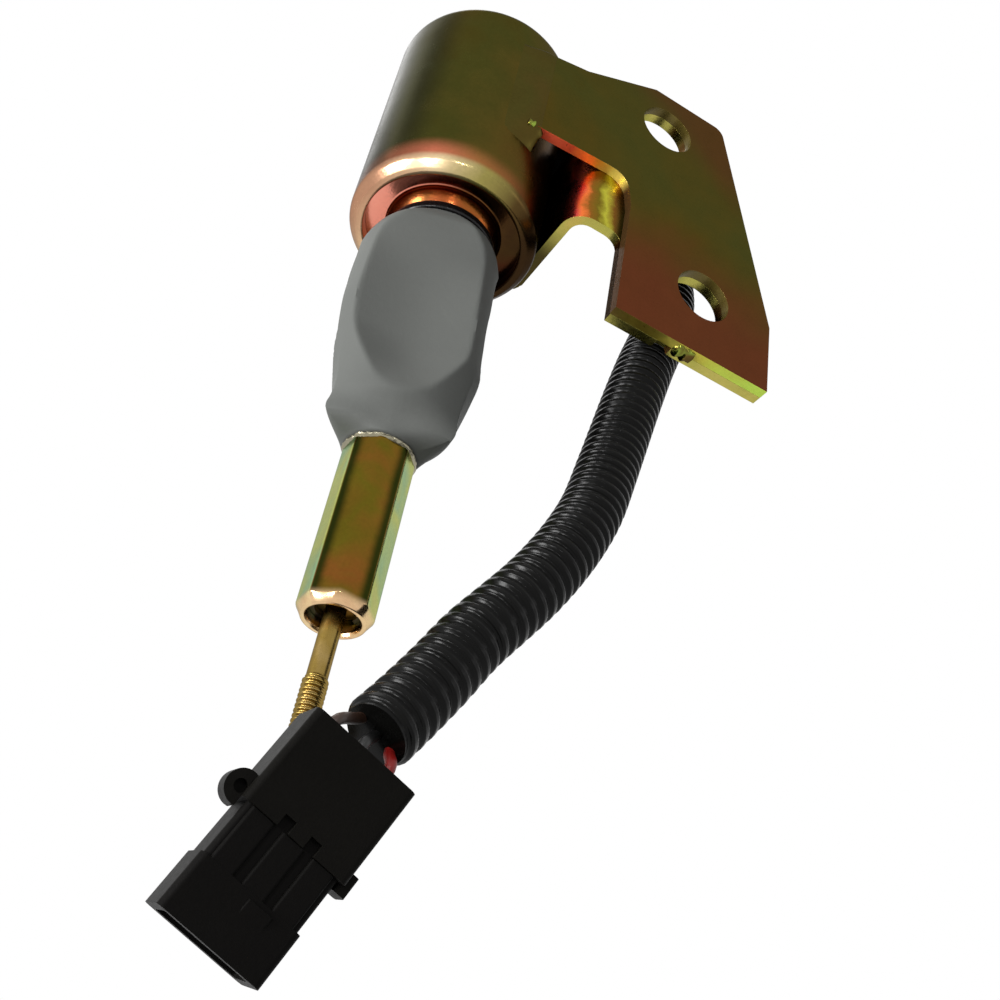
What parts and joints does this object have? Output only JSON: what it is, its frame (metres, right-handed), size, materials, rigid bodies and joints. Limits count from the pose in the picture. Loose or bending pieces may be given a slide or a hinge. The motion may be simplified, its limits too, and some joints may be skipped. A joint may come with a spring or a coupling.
{
  "type": "fuel shutoff solenoid",
  "caption": "Pull solenoid in a round plated can with a rubber boot, sprung coupling and threaded rod, a flat two-layer bracket with bolt holes, and a conduit lead ending in a plug.",
  "frame": {"origin": "middle of the two bracket bolt holes, on the front face of the bracket", "axes": "+Z along the plunger axis towards the closed end of the can, the rod points -Z; +X from the can towards the bracket's free edge; the bracket's front face looks along -Y"},
  "size_m": [0.0992, 0.0465, 0.239],
  "materials": {
    "plated_shell": "yellow zinc plate, olive with green and brown bloom",
    "plated_neck": "yellow zinc plate, bright gold",
    "seal_rubber": "matt",
    "guide_brass": "drawn",
    "pole_steel": "turned",
    "fibre": "matt",
    "nylon": "satin",
    "pull_wire": "enamelled copper wire",
    "hold_wire": "enamelled copper wire",
    "ring_black": "phosphated black",
    "boot_rubber": "matt grey",
    "plated_bracket": "yellow zinc plate, olive to russet",
    "plated_strap": "yellow zinc plate, yellow green",
    "elbow_rubber": "matt black",
    "plunger_steel": "ground and plated",
    "spring_wire": "drawn wire",
    "plated_coupling": "yellow zinc plate, green and brown",
    "plated_washer": "yellow zinc plate",
    "plated_rod": "yellow zinc plate",
    "conduit_plastic": "satin black",
    "wire_red": "satin",
    "wire_black": "satin",
    "wire_brown": "satin",
    "seal_red": "matt",
    "connector_plastic": "moulded black",
    "lock_plastic": "moulded black",
    "tin_pins": "tinned"
  },
  "bodies": {
    "housing": {"shell": "plated_shell", "front_plate": "plated_neck", "front_seal": "seal_rubber", "guide_tube": "guide_brass", "rear_pole": "pole_steel", "fibre_washer": "fibre", "bobbin": "nylon", "pull_coil": "pull_wire", "hold_coil": "hold_wire", "boot_ring": "ring_black", "boot": "boot_rubber", "bracket_plate": "plated_bracket", "bracket_strap": "plated_strap", "outlet_elbow": "elbow_rubber", "return_spring": "spring_wire", "conduit": "conduit_plastic", "wire_red": "wire_red", "wire_black": "wire_black", "wire_brown": "wire_brown", "wire_seals": "seal_red", "connector_body": "connector_plastic", "connector_lock": "lock_plastic", "terminal_pins": "tin_pins", "front_lock": "lock_plastic"},
    "plunger_set": {"plunger": "plunger_steel", "coupling": "plated_coupling", "override_spring": "spring_wire", "spring_washer": "plated_washer", "snap_ring": "ring_black"},
    "rod_set": {"rod": "plated_rod"}
  },
  "joints": [
    {"name": "plunger_slide", "type": "slide", "parent": "housing", "child": "plunger_set", "axis": [0, 0, 1], "range_m": [0, 0.025], "stiffness_N_per_m": 300, "springref_m": -0.02, "deforming": ["boot", "return_spring"]},
    {"name": "rod_override", "type": "slide", "parent": "plunger_set", "child": "rod_set", "axis": [0, 0, -1], "range_m": [0, 0.004], "stiffness_N_per_m": 2000, "springref_m": -0.01, "deforming": ["override_spring"]}
  ]
}
